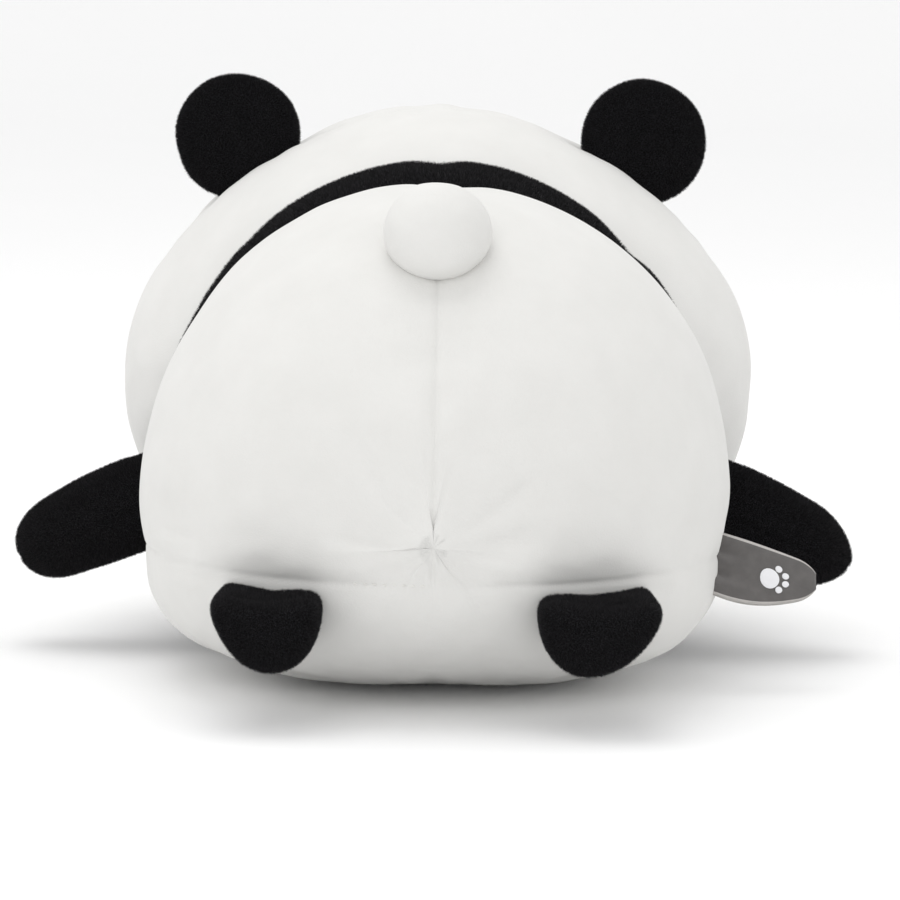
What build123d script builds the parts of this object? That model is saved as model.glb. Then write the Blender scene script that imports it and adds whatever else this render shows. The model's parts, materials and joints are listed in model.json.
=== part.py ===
from build123d import *
import math
import os

# A plush panda that lies on its belly: a round white rump, a black shoulder band, a wide head
# with round ears, two stub arms, two stub feet, a ball tail and a folded fabric label in a
# side seam. Every bag is a fabric cover of sewn panels around a core of fibre filling.
# Millimetres. +Z is up, +Y runs from the tail to the face, and Z = 0 is the floor.

# Overall
overall_length = 396.0      # back of the feet to the tip of the nose
fabric = 2.0                # thickness of the plush fabric
soft_gap = 0.3              # room between neighbouring soft pieces
neck_gap = 0.4              # room between the head and the shoulders
BIG = 900.0                 # side of a cutting block, larger than the toy

# Rump: the round white bag at the back
rump_radius = 120.0         # half the width at the widest level
rump_level = 72.0           # height of the widest level
rump_rise = 131.0           # widest level up to the crown
rump_drop = 74.5            # widest level down to the underside, before it settles flat
rump_tip = 110.0            # radius of the crown
rump_corner = 66.0          # radius of the lower corner
rump_join = -150.0          # direction of the surface's own seam line, where nothing is sewn
belly_seam = 56.0           # height of the seam between back panels and belly panel
foot_overhang = 13.5        # how far the feet stand out behind the rump

# Shoulders: the black bag that joins the rump to the head
band_radius = 119.0
band_level = 76.0
band_rise = 132.0
band_drop = 73.0
band_tip = 108.0
band_corner = 64.0
band_join = 8.0
band_spacing = 87.0         # centre of the rump to centre of the shoulders

# Head: a body of revolution about its own left-right axis, which is the nodding axis
head_half_width = 137.0
head_radius = 119.5
head_level = 111.5
head_arc = 140.0            # radius of the long arc across the head
head_gores = 16             # strips the long arc is divided into
head_join = 50.0

# Arms
arm_height = 67.0           # shoulder pivot above the floor
arm_spacing = 25.0          # how far the pivot lies behind the shoulders' centre
arm_depth = 4.0             # pivot below the shoulders' surface
arm_droop = 20.0            # degrees below level
arm_length = 69.5           # pivot to the tip
arm_root_radius = 19.5
arm_tip_radius = 16.8
arm_ball = 16.5
arm_neck = 10.5
arm_room = 10.5             # free space under the arm's root, for its swing

# Feet
foot_x = 62.0               # pivot to the middle plane
foot_height = 46.0
foot_depth = 3.0
foot_radius = 21.5
foot_flat = 10.5            # axis up to the flat top
foot_round = 11.8           # rounding of the end
foot_roll = 12.0            # degrees that the flat top leans outwards
foot_sole_depth = 12.0      # depth of the sole panel from the end of the foot
foot_ball = 14.0
foot_neck = 8.0
foot_room = 6.0

# Ears
ear_x = 82.0                # seam to the middle plane
ear_radius = 27.5
ear_thickness = 22.0
ear_rim = 8.5               # radius of the ear's rounded edge
ear_stand = 13.0            # seam up to the centre of the ear
ear_depth = 2.0
ear_root_radius = 10.5
ear_root_length = 34.0
ear_neck = 12.0             # thickness of the neck
ear_room = 4.8

# Tail
tail_height = 183.0         # seam above the floor
tail_radius = 21.5
tail_half_height = 19.5
tail_rim = 18.6             # radius of the tail's outline at its widest
tail_stand = 9.0
tail_depth = 3.0
tail_ball = 13.0
tail_neck = 8.0
tail_room = 4.6

# Label: two layers of ribbon in a side seam
label_turn = 15.0           # degrees from the side towards the back
label_height = 48.0
label_length = 46.0
label_width = 30.0
label_layer = 0.65
label_corner = 9.0
label_normal = (0.25, -0.82, 0.50)
label_room = 0.8
label_root_inside = 14.0    # length of the blank that is trimmed away at the seam
print_lift = 0.15           # thickness of the printed paw

# Face
patch_x = 52.0
patch_height = 116.0
patch_half_width = 19.0
patch_half_height = 25.0
patch_lean = 28.0           # degrees
patch_lift = 1.5            # front of the patch above the face
eye_x = 47.0
eye_height = 119.0
eye_radius = 6.5
eye_lift = 2.2
nose_height = 96.0
nose_half_width = 10.0
nose_half_height = 6.5
nose_lift = 3.0
mouth_drop = 9.0            # nose down to the middle of the mouth
mouth_radius = 8.0
mouth_thread = 1.8
mouth_lift = 1.0
face_front = 20.0           # the face's features lie at least this far in front of the ears

rump_y = -overall_length / 2 + foot_overhang + rump_radius
band_y = rump_y + band_spacing
nose_under = head_level - nose_height - nose_half_height
nose_front = math.sqrt((head_radius + soft_gap + nose_lift) ** 2 - nose_under ** 2)
head_y = overall_length / 2 - nose_front


# ---- bags -------------------------------------------------------------------------------

def above(solid, height):
    return solid - Pos(0, 0, height - BIG / 2) * Box(BIG, BIG, BIG)


def below(solid, height):
    return solid - Pos(0, 0, height + BIG / 2) * Box(BIG, BIG, BIG)


def crown_arcs(radius, rise, tip_radius):
    """Two tangent arcs from the crown (0, rise) out to (radius, 0)."""
    low = rise - tip_radius
    side_radius = (radius ** 2 + low ** 2 - tip_radius ** 2) / (2 * (radius - tip_radius))
    reach = math.hypot(side_radius - radius, low)
    join = ((side_radius - radius) * tip_radius / reach, low + low * tip_radius / reach)
    tip = TangentArc((0, rise), join, tangent=(1, 0))
    return [tip, TangentArc(join, (radius, 0), tangent=tip % 1)]


def base_arcs(radius, drop, corner):
    """Two tangent arcs from (radius, 0) round a corner and under to (0, -drop)."""
    across = radius - corner
    high = (across ** 2 - (drop - corner) ** 2) / (2 * (drop - corner))
    reach = math.hypot(across, high)
    join = (across + across * corner / reach, -high * corner / reach)
    turn = TangentArc((radius, 0), join, tangent=(0, -1))
    return [turn, TangentArc(join, (0, -drop), tangent=turn % 1)]


def pebble(radius, rise, drop, tip_radius, corner):
    """A round cushion about +Z, widest at level 0."""
    outline = crown_arcs(radius, rise, tip_radius) + base_arcs(radius, drop, corner)
    return revolve(Plane.XZ * make_face([*outline, Line((0, -drop), (0, rise))]), Axis.Z, 360)


def rump(shrink):
    """The rump's outside moved in by shrink, or out where shrink is negative."""
    bag = pebble(rump_radius - shrink, rump_rise - shrink, rump_drop - shrink,
                 rump_tip - shrink, rump_corner - shrink)
    bag = Pos(0, rump_y, rump_level) * Rot(0, 0, rump_join) * bag
    return above(bag, shrink) if shrink >= 0 else bag


def shoulders(shrink):
    bag = pebble(band_radius - shrink, band_rise - shrink, band_drop - shrink,
                 band_tip - shrink, band_corner - shrink)
    return Pos(0, band_y, band_level) * Rot(0, 0, band_join) * bag


def head_outline(shrink):
    """Radius against distance from the middle: a long arc with a rounder arc at each end."""
    long_arc = head_arc - shrink
    drop = head_arc - head_radius
    half = head_half_width - shrink
    end = (drop ** 2 - (long_arc - half) ** 2) / (2 * (long_arc - half))
    reach = math.hypot(end, drop)
    lean = math.asin(end / reach)
    turns = [lean * (2 * step / head_gores - 1) for step in range(head_gores + 1)]
    joins = [(long_arc * math.sin(turn), long_arc * math.cos(turn) - drop) for turn in turns]
    outline = [TangentArc((-half, 0), joins[0], tangent=(0, 1))]
    for join in joins[1:]:
        outline.append(TangentArc(outline[-1] @ 1, join, tangent=outline[-1] % 1))
    return [*outline, TangentArc(joins[-1], (half, 0), tangent=outline[-1] % 1)]


def head(shrink):
    outline = head_outline(shrink)
    bag = revolve(make_face([*outline, Line(outline[-1] @ 1, outline[0] @ 0)]), Axis.X, 360)
    bag = Pos(0, head_y, head_level) * Rot(head_join, 0, 0) * bag
    return above(bag, shrink) if shrink >= 0 else bag


# ---- places on the bags -----------------------------------------------------------------

def unit(v):
    return Vector(*v).normalized()


def lower_reach(height):
    """Radius of the rump's lower corner at a height above the floor."""
    return rump_radius - rump_corner + math.sqrt(rump_corner ** 2 - (height - rump_level) ** 2)


def tail_seat():
    """Seam of the tail on the crown and the direction out of the rump there."""
    up = tail_height - rump_level - rump_rise + rump_tip
    back = math.sqrt(rump_tip ** 2 - up ** 2)
    return Vector(0, rump_y - back, tail_height), Vector(0, -back, up) / rump_tip


def ear_seat():
    """Seam of the right ear, the direction out of the head there, and the seam's direction."""
    drop = head_arc - head_radius
    up = math.sqrt(head_arc ** 2 - ear_x ** 2)
    out = Vector(ear_x, 0, up).normalized()
    along = Vector(out.Z, 0, -out.X)
    return Vector(ear_x, head_y, head_level + up - drop), out, along


def arm_pivot():
    reach = math.sqrt(band_radius ** 2 - arm_spacing ** 2) - arm_depth
    return Vector(reach, band_y - arm_spacing, arm_height)


def arm_direction():
    droop = math.radians(arm_droop)
    return Vector(math.cos(droop), 0, -math.sin(droop))


def foot_pivot():
    back = math.sqrt(lower_reach(foot_height) ** 2 - foot_x ** 2)
    return Vector(foot_x, rump_y - back + foot_depth, foot_height)


def tail_pivot():
    seam, out = tail_seat()
    return seam - out * tail_depth


def ear_pivot():
    seam, out, along = ear_seat()
    return seam - out * ear_depth


def label_frame():
    """Middle of the label's seam, its outward direction and its normal."""
    turn = math.radians(label_turn)
    reach = lower_reach(label_height)
    seam = Vector(reach * math.cos(turn), rump_y - reach * math.sin(turn), label_height)
    normal = unit(label_normal)
    out = (Vector(1, 0, 0) - normal * normal.X).normalized()
    return seam, out, normal


# ---- limbs ------------------------------------------------------------------------------
# Each limb is its own bag. Its root is a ball or a roll that seats in a hollow of the bag it
# is sewn to, and the rest of it keeps clear of that bag by the limb's room. The right limbs
# are drawn here and the left ones are their mirror images.

def neck(pivot, direction, ball, radius, reach, shrink):
    """The ball that seats in the hollow, and a short neck that joins it to the limb."""
    length = reach + 3 * fabric
    stem = Cylinder(radius - shrink, length, align=(Align.CENTER, Align.CENTER, Align.MIN))
    return Plane(origin=pivot, z_dir=direction) * (Sphere(ball - shrink) + stem)


def hollow(pivot, direction, ball):
    return Plane(origin=pivot, z_dir=direction) * Sphere(ball + soft_gap)


def cut(solid, tools):
    for tool in tools:
        solid = solid - tool
    return solid


def arm(shrink):
    straight = arm_length - arm_tip_radius
    tip = arm_tip_radius - shrink
    root = arm_root_radius - shrink
    sides = Polyline((0, 0), (root, 0), (tip, straight))
    end = CenterArc((0, straight), tip, 0, 90)
    blank = make_face([sides, end, Line((0, straight + tip), (0, 0))])
    blank = revolve(Plane.XZ * blank, Axis.Z, 360)
    blank = Plane(origin=arm_pivot(), x_dir=(0, -1, 0), z_dir=arm_direction()) * blank
    blank = cut(blank, [bag(-arm_room - shrink) for bag in (shoulders, rump, head)])
    return blank + neck(arm_pivot(), arm_direction(), arm_ball, arm_neck, arm_depth + arm_room, shrink)


def foot(shrink):
    pivot = foot_pivot()
    back = Vector(0, -1, 0)
    length = pivot.Y + overall_length / 2 + foot_radius - shrink
    radius = foot_radius - shrink
    blank = Cylinder(radius, length, align=(Align.CENTER, Align.CENTER, Align.MIN))
    blank = fillet(blank.edges().filter_by(GeomType.CIRCLE).sort_by(Axis.Z)[-1], foot_round - shrink)
    lid = Pos(0, foot_flat - shrink + foot_radius, length / 2)
    blank = blank - lid * Box(BIG, 2 * foot_radius, 2 * length)
    lean = Plane(origin=pivot - back * foot_radius, x_dir=(1, 0, 0), z_dir=back)
    blank = lean * (Rot(0, 0, -foot_roll) * blank) - rump(-foot_room - shrink)
    return blank + neck(pivot, back, foot_ball, foot_neck, foot_depth + foot_room, shrink)


def cushion(radius, half_height, rim):
    """A flattened ball about +Z: two shallow caps and a round rim."""
    across = radius - rim
    cap = (across ** 2 + half_height ** 2 - rim ** 2) / (2 * (half_height - rim))
    reach = math.hypot(across, cap - half_height)
    join = (across * cap / reach, (cap - half_height) * (cap / reach - 1))
    top = TangentArc((0, half_height), join, tangent=(1, 0))
    side = TangentArc(join, (join[0], -join[1]), tangent=top % 1)
    base = TangentArc(side @ 1, (0, -half_height), tangent=side % 1)
    face = make_face([top, side, base, Line((0, -half_height), (0, half_height))])
    return revolve(Plane.XZ * face, Axis.Z, 360)


def tail(shrink):
    seam, out = tail_seat()
    ball = cushion(tail_radius - shrink, tail_half_height - shrink, tail_rim - shrink)
    ball = Pos(seam + out * tail_stand) * Rot(0, 0, 40) * ball - rump(-tail_room - shrink)
    return ball + neck(tail_pivot(), out, tail_ball, tail_neck, tail_depth + tail_room, shrink)


def ear_roll(radius, length):
    """The round root of an ear, along its seam."""
    return Plane(origin=ear_pivot(), z_dir=ear_seat()[2]) * Cylinder(radius, length)


def ear(shrink):
    seam, out, along = ear_seat()
    disc = cushion(ear_radius - shrink, ear_thickness / 2 - shrink, ear_rim - shrink)
    disc = Pos(seam + out * ear_stand) * Rot(90, 0, 0) * Rot(0, 0, 60) * disc
    disc = disc - head(-ear_room - shrink)
    height = ear_depth + ear_room + 3 * fabric
    stem = Box(ear_root_length - 2 * shrink, ear_neck - 2 * shrink, height,
               align=(Align.CENTER, Align.CENTER, Align.MIN))
    roll = ear_roll(ear_root_radius - shrink, ear_root_length - 2 * shrink)
    return disc + roll + Plane(origin=ear_pivot(), x_dir=along, z_dir=out) * stem


# ---- panels -----------------------------------------------------------------------------

def beyond(solid, plane):
    """The part of a solid on the far side of a plane, kept half a gap away from it."""
    block = Box(BIG, BIG, BIG, align=(Align.CENTER, Align.CENTER, Align.MIN))
    return solid & (plane.offset(soft_gap / 2) * block)


def two_panels(cover, plane):
    flipped = Plane(origin=plane.origin, x_dir=plane.x_dir, z_dir=-plane.z_dir)
    return beyond(cover, plane), beyond(cover, flipped)


def limb_pieces(bag, seam_plane, panel_names):
    """Cover panels and filling of a limb whose outside is bag(shrink)."""
    cover = bag(0) - bag(fabric)
    panels = two_panels(cover, seam_plane) if seam_plane else [cover]
    return dict(zip(panel_names, panels)) | {"filling": bag(fabric + soft_gap)}


def limbs():
    pieces = {"tail_" + part: solid for part, solid in limb_pieces(tail, None, ["cover"]).items()}
    arm_seam = Plane(origin=arm_pivot(), x_dir=(0, 1, 0), z_dir=(-arm_direction().Z, 0, arm_direction().X))
    foot_seam = Plane(origin=(0, -overall_length / 2 + foot_sole_depth, 0), z_dir=(0, -1, 0))
    ear_seam = Plane(origin=(0, head_y, 0), z_dir=(0, 1, 0))
    pairs = {"arm": limb_pieces(arm, arm_seam, ["upper_panel", "lower_panel"]),
             "foot": limb_pieces(foot, foot_seam, ["sole", "upper"]),
             "ear": limb_pieces(ear, ear_seam, ["front_panel", "back_panel"])}
    for limb, right in pairs.items():
        for part, solid in right.items():
            pieces["right_" + limb + "_" + part] = solid
            pieces["left_" + limb + "_" + part] = mirror(solid, Plane.YZ)
    return pieces


def on_both_sides(solid):
    return [solid, mirror(solid, Plane.YZ)]


def torso_pieces():
    hollows = [hollow(tail_pivot(), tail_seat()[1], tail_ball)]
    hollows += on_both_sides(hollow(arm_pivot(), arm_direction(), arm_ball))
    hollows += on_both_sides(hollow(foot_pivot(), (0, -1, 0), foot_ball))
    seat = head(-neck_gap)
    rump_cover = cut(rump(0), [rump(fabric), shoulders(-soft_gap), *hollows])
    band_cover = cut(shoulders(0), [shoulders(fabric), rump(-soft_gap), seat, *hollows])
    level = Plane(origin=(0, 0, belly_seam), z_dir=(0, 0, 1))
    back, belly = two_panels(rump_cover, level)
    right, left = two_panels(back, Plane(origin=(0, 0, 0), z_dir=(1, 0, 0)))
    band, chest = two_panels(band_cover, level)
    core = cut(rump(fabric + soft_gap) + shoulders(fabric + soft_gap), [seat, *hollows])
    return {"rump_left_panel": left, "rump_right_panel": right, "belly_panel": belly,
            "shoulder_band": band, "chest_panel": chest, "torso_filling": core}


def on_face(outline, low, high):
    """What an outline drawn on the face cuts from a layer that lies low to high above it."""
    front = Plane(origin=(0, head_y + face_front, 0), x_dir=(-1, 0, 0), z_dir=(0, 1, 0))
    return (head(-high) - head(-low)) & extrude(front * outline, BIG / 2)


def head_pieces():
    hollows = on_both_sides(ear_roll(ear_root_radius + soft_gap, ear_root_length + 2 * soft_gap))
    cover = cut(head(0), [head(fabric), *hollows])
    face, back = two_panels(cover, Plane(origin=(0, head_y, 0), z_dir=(0, 1, 0)))
    core = cut(head(fabric + soft_gap), hollows)
    pieces = {"face_panel": face, "head_back_panel": back, "head_filling": core}
    patch_top = soft_gap + patch_lift
    oval = Pos(-patch_x, patch_height) * Rot(0, 0, -patch_lean)
    patch = on_face(oval * Ellipse(patch_half_width, patch_half_height), soft_gap, patch_top)
    pieces["right_eye_patch"], pieces["left_eye_patch"] = on_both_sides(patch)
    bead = Pos(-eye_x, eye_height) * Circle(eye_radius)
    eye = on_face(bead, patch_top + soft_gap, patch_top + soft_gap + eye_lift)
    pieces["right_eye"], pieces["left_eye"] = on_both_sides(eye)
    button = Pos(0, nose_height) * Ellipse(nose_half_width, nose_half_height)
    pieces["nose"] = on_face(button, soft_gap, soft_gap + nose_lift)
    pieces["mouth_stitch"] = on_face(mouth_outline(), soft_gap, soft_gap + mouth_lift)
    return pieces


def mouth_outline():
    """Two small smiles side by side, as wide as a thread."""
    height = nose_height - mouth_drop
    smiles = None
    for side in (-1, 1):
        ring = Circle(mouth_radius + mouth_thread / 2) - Circle(mouth_radius - mouth_thread / 2)
        smile = ring - Pos(0, mouth_radius) * Rectangle(4 * mouth_radius, 2 * mouth_radius)
        smile = Pos(side * mouth_radius, height) * smile
        smiles = smile if smiles is None else smiles + smile
    return smiles


def label_pieces():
    seam, out, normal = label_frame()
    face = Plane(origin=seam, x_dir=out, z_dir=normal)
    blank = Pos((label_length - label_root_inside) / 2, 0)
    blank = blank * RectangleRounded(label_length + label_root_inside, label_width, label_corner)
    stand_off = rump(-label_room)
    front = face.offset(soft_gap / 2) * extrude(blank, label_layer)
    back = face.offset(-soft_gap / 2) * extrude(blank, -label_layer)
    pad = Pos(label_length * 0.52, -1) * Ellipse(5.0, 4.0)
    for turn in (-54, -18, 18, 54):
        toe = Rot(0, 0, turn) * Pos(0, 7.4) * Ellipse(1.5, 2.0)
        pad += Pos(label_length * 0.52, -1) * toe
    paw = face.offset(soft_gap / 2 + label_layer) * extrude(pad, print_lift)
    return {"label_front": front - stand_off, "label_back": back - stand_off, "label_print": paw}


def all_pieces():
    return torso_pieces() | head_pieces() | limbs() | label_pieces()


def main():
    os.makedirs("parts", exist_ok=True)
    for name, shape in all_pieces().items():
        export_step(shape, "parts/" + name + ".step")


if __name__ == "__main__":
    main()
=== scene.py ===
import json
import math
import bpy
import numpy as np
from mathutils import Matrix, Vector, noise


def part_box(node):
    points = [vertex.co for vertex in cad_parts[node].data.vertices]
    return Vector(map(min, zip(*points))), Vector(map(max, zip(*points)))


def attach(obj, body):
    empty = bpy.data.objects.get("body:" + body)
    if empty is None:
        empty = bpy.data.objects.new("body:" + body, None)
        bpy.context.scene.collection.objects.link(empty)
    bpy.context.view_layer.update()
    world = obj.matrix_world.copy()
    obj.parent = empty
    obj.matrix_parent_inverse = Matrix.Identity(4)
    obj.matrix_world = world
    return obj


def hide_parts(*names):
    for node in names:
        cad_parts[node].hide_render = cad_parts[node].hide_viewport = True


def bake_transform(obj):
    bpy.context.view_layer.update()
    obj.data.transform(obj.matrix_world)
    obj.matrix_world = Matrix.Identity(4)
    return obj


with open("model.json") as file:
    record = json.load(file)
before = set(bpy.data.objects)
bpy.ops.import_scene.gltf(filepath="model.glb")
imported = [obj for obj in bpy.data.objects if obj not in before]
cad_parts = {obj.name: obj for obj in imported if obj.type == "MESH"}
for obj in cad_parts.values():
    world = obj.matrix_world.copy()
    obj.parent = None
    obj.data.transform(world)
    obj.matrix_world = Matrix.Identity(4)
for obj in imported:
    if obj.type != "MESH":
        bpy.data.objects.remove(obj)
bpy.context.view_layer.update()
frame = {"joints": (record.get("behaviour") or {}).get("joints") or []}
joints = {joint["name"]: joint for joint in frame["joints"]}
scene = bpy.context.scene


# places that come from the frame

def boxOf(*nodes):
    lows, highs = zip(*(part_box(node) for node in nodes))
    return np.min(np.array(lows), 0), np.max(np.array(highs), 0)


def pivotOf(name):
    return np.array(joints[name]["pos_m"], float)


def axisOf(name):
    axis = np.array(joints[name]["axis"], float)
    return axis / np.linalg.norm(axis)


rumpLow, rumpHigh = boxOf("rump_left_panel", "rump_right_panel", "belly_panel")
bandLow, bandHigh = boxOf("shoulder_band", "chest_panel")
headLow, headHigh = boxOf("face_panel", "head_back_panel")
rumpRadius = rumpHigh[0]
bandRadius = bandHigh[0]
headHalf = headHigh[0]
headRadius = (headHigh[1] - headLow[1]) / 2
headCentre = np.array([0, headLow[1] + headRadius, headHigh[2] - headRadius])
rumpCentre = np.array([0, rumpLow[1] + rumpRadius, 0.072])
bandCentre = np.array([0, rumpCentre[1] + 0.067, 0.076])


# the three bags, as how far each reaches from its own centre

rumpShape = {"level": 0.072, "crown": 2.0, "fuller": 0.13, "under": 2.95, "underBack": 1.92}
bandShape = {"level": 0.076, "crown": 2.0, "under": 2.7, "rise": 0.1335}
headShape = {"above": 1.78, "below": 1.95, "wider": 0.0012}
floorRest = 0.004      # how softly the filling turns up where it leaves the floor


def pebbleReach(direction, radius, rise, drop, crown, under):
    flat = np.hypot(direction[..., 0], direction[..., 1])
    up = direction[..., 2]
    power = np.where(up > 0, crown, under)
    high = np.where(up > 0, rise, drop)
    return ((flat / radius) ** power + (np.abs(up) / high) ** power) ** (-1 / power)


def rumpReach(direction):
    # the filling sits a little fuller on the right, and the underside curves up towards the back
    rise, drop = rumpHigh[2] - rumpShape["level"], rumpShape["level"] + 0.0003
    flat = np.maximum(np.hypot(direction[..., 0], direction[..., 1]), 1e-9)
    crown = rumpShape["crown"] + rumpShape["fuller"] * np.maximum(direction[..., 0] / flat, 0)
    back = (direction[..., 1] / flat) ** 2 * (direction[..., 1] < 0)
    under = rumpShape["under"] + (rumpShape["underBack"] - rumpShape["under"]) * back
    return pebbleReach(direction, rumpRadius, rise, drop, crown, under)


def bandReach(direction):
    drop = bandShape["level"] - 0.002
    return pebbleReach(direction, bandRadius, bandShape["rise"], drop, bandShape["crown"],
                       bandShape["under"])


def headReach(direction):
    share = np.clip((direction[..., 2] + 0.35) / 0.8, 0, 1)
    power = headShape["below"] + (headShape["above"] - headShape["below"]) * share * share * (3 - 2 * share)
    around = np.hypot(direction[..., 1], direction[..., 2])
    return ((np.abs(direction[...,
                              0]) / (headHalf + headShape["wider"])) ** power + (around / headRadius) ** power) ** (-1 / power)


def insideBy(point, centre, reach):
    away = point - centre
    length = np.linalg.norm(away, axis=-1)
    return reach(away / np.maximum(length, 1e-9)[..., None]) - length


def settle(points):
    # the filling is pressed flat by the floor, with a soft turn-up round the flat
    low = points[..., 2]
    eased = np.where(low < floorRest, floorRest * np.exp(np.minimum(low - floorRest, 0) / floorRest), low)
    points = points.copy()
    points[..., 2] = np.maximum(eased - floorRest * 0.12, 0.0003)
    return points


# meshes

def unitRows(vectors):
    return vectors / np.maximum(np.linalg.norm(vectors, axis=-1), 1e-12)[..., None]


def closedBag(name, rings, startPole, endPole):
    # rings of points from one pole to the other, closed at both
    rows, cols = rings.shape[:2]
    points = np.vstack([rings.reshape(-1, 3), startPole, endPole])
    first, last = rows * cols, rows * cols + 1
    faces = []
    for col in range(cols):
        after = (col + 1) % cols
        faces.append((first, after, col))
        faces.append((last, (rows - 1) * cols + col, (rows - 1) * cols + after))
        for row in range(rows - 1):
            a, b = row * cols + col, row * cols + after
            faces.append((a, b, b + cols, a + cols))
    mesh = bpy.data.meshes.new(name)
    mesh.from_pydata([tuple(p) for p in points], [], faces)
    mesh.update()
    piece = bpy.data.objects.new(name, mesh)
    scene.collection.objects.link(piece)
    faceOutwards(piece)
    for polygon in mesh.polygons:
        polygon.use_smooth = True
    return piece


def faceOutwards(piece):
    mesh = piece.data
    mesh.calc_loop_triangles()
    points = pointsOf(piece)
    corners = np.array([t.vertices for t in mesh.loop_triangles])
    a, b, c = points[corners[:, 0]], points[corners[:, 1]], points[corners[:, 2]]
    if np.einsum("ij,ij->i", a, np.cross(b, c)).sum() < 0:
        mesh.flip_normals()
        mesh.update()


def pointsOf(piece):
    flat = np.zeros(len(piece.data.vertices) * 3, np.float32)
    piece.data.vertices.foreach_get("co", flat)
    return flat.reshape(-1, 3).astype(float)


def movePoints(piece, points):
    piece.data.vertices.foreach_set("co", points.astype(np.float32).ravel())
    piece.data.update()


def normalsOf(piece):
    flat = np.zeros(len(piece.data.vertices) * 3, np.float32)
    piece.data.vertex_normals.foreach_get("vector", flat)
    return flat.reshape(-1, 3).astype(float)


def bake(piece, name=None):
    # the evaluated shape as a plain mesh, with nothing live left on it
    graph = bpy.context.evaluated_depsgraph_get()
    mesh = bpy.data.meshes.new_from_object(piece.evaluated_get(graph))
    made = bpy.data.objects.new(name or piece.name, mesh)
    scene.collection.objects.link(made)
    return made


def drop(piece):
    bpy.data.objects.remove(piece, do_unlink=True)


def subdivide(piece, levels):
    name = piece.name
    finer = piece.modifiers.new("finer", "SUBSURF")
    finer.levels = finer.render_levels = levels
    piece.name = name + "Coarse"
    made = bake(piece, name)
    drop(piece)
    for polygon in made.data.polygons:
        polygon.use_smooth = True
    return made


clothSettings = {"frames": 20, "quality": 4, "mass": 0.25, "tension": 12, "bending": 0.35, "slack": -0.02}


def puffUp(piece, pressure, cap, held):
    # the stuffing swells the fabric between the seams, which stay where they are sewn
    before = pointsOf(piece)
    group = piece.vertex_groups.new(name="sewn")
    for index, weight in enumerate(held):
        if weight > 0.01:
            group.add([index], float(weight), "REPLACE")
    cloth = piece.modifiers.new("stuffing", "CLOTH")
    cloth.point_cache.frame_start, cloth.point_cache.frame_end = 1, clothSettings["frames"]
    fabric = cloth.settings
    fabric.quality = clothSettings["quality"]
    fabric.mass = clothSettings["mass"]
    fabric.tension_stiffness = fabric.compression_stiffness = clothSettings["tension"]
    fabric.bending_stiffness = clothSettings["bending"]
    fabric.shrink_min = clothSettings["slack"]
    fabric.vertex_group_mass = "sewn"
    fabric.use_pressure = True
    fabric.uniform_pressure_force = pressure
    fabric.effector_weights.gravity = 0
    for step in range(1, clothSettings["frames"] + 1):
        scene.frame_set(step)
    graph = bpy.context.evaluated_depsgraph_get()
    shape = piece.evaluated_get(graph).to_mesh()
    flat = np.zeros(len(shape.vertices) * 3, np.float32)
    shape.vertices.foreach_get("co", flat)
    piece.evaluated_get(graph).to_mesh_clear()
    moved = flat.reshape(-1, 3).astype(float) - before
    length = np.linalg.norm(moved, axis=1)
    moved *= np.minimum(1, cap / np.maximum(length, 1e-9))[:, None]
    piece.modifiers.remove(cloth)
    piece.vertex_groups.clear()
    scene.frame_set(1)
    movePoints(piece, before + moved)
    print("  cloth on", piece.name, "moved up to %.1f mm" % (min(length.max(), cap) * 1000))


def lumps(points, size, seed):
    # soft uneven filling, between -1 and 1
    shift = Vector((seed * 7.13, seed * 3.7, seed * 11.9))
    return np.array([noise.noise(Vector(p) / size + shift) for p in points])


def groove(distance, depth, width, pinch, reach):
    # how deep a seam pulls the fabric in, at a distance from its line
    return depth * np.exp(-(distance / width) ** 2) + pinch * np.exp(-np.abs(distance) / reach)


def dent(points, place, along, length, width, depth, across):
    # one short crease in the fabric
    away = points - place
    run = away @ along
    side = away @ across
    return depth * np.exp(-(run / length) ** 2 - (side / width) ** 2)


def ringPoint(centre, reach, angles, turns):
    # angles run from the back pole round to the front, turns go round the long axis
    direction = np.stack([np.sin(angles) * np.cos(turns), -np.cos(angles),
                          np.sin(angles) * np.sin(turns)], -1)
    return centre + direction * reach(direction)[..., None]


def meetAngle(centre, reach, otherCentre, otherReach, turns, low, high):
    # the angle at which one bag's surface passes into the other's
    low, high = np.full_like(turns, low), np.full_like(turns, high)
    for _ in range(40):
        middle = (low + high) / 2
        inside = insideBy(ringPoint(centre, reach, middle, turns), otherCentre, otherReach) > 0
        high, low = np.where(inside, middle, high), np.where(inside, low, middle)
    return (low + high) / 2


# materials: shader groups used by more than one fabric

def newGroup(name, inputs, outputs):
    group = bpy.data.node_groups.new(name, "ShaderNodeTree")
    for label, kind, value in inputs:
        socket = group.interface.new_socket(label, in_out="INPUT", socket_type=kind)
        socket.default_value = value
    for label, kind in outputs:
        group.interface.new_socket(label, in_out="OUTPUT", socket_type=kind)
    return group, group.nodes.new("NodeGroupInput"), group.nodes.new("NodeGroupOutput")


def mathNode(tree, operation, a, b=None):
    node = tree.nodes.new("ShaderNodeMath")
    node.operation = operation
    for socket, value in zip(node.inputs, (a, b)):
        if value is None:
            continue
        if isinstance(value, (int, float)):
            socket.default_value = value
        else:
            tree.links.new(value, socket)
    return node.outputs[0]


def noiseAt(tree, vector, scale, detail=3.0, roughness=0.5):
    node = tree.nodes.new("ShaderNodeTexNoise")
    node.inputs["Detail"].default_value = detail
    node.inputs["Roughness"].default_value = roughness
    if isinstance(scale, (int, float)):
        node.inputs["Scale"].default_value = scale
    else:
        tree.links.new(scale, node.inputs["Scale"])
    tree.links.new(vector, node.inputs["Vector"])
    return node.outputs["Fac"]


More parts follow.
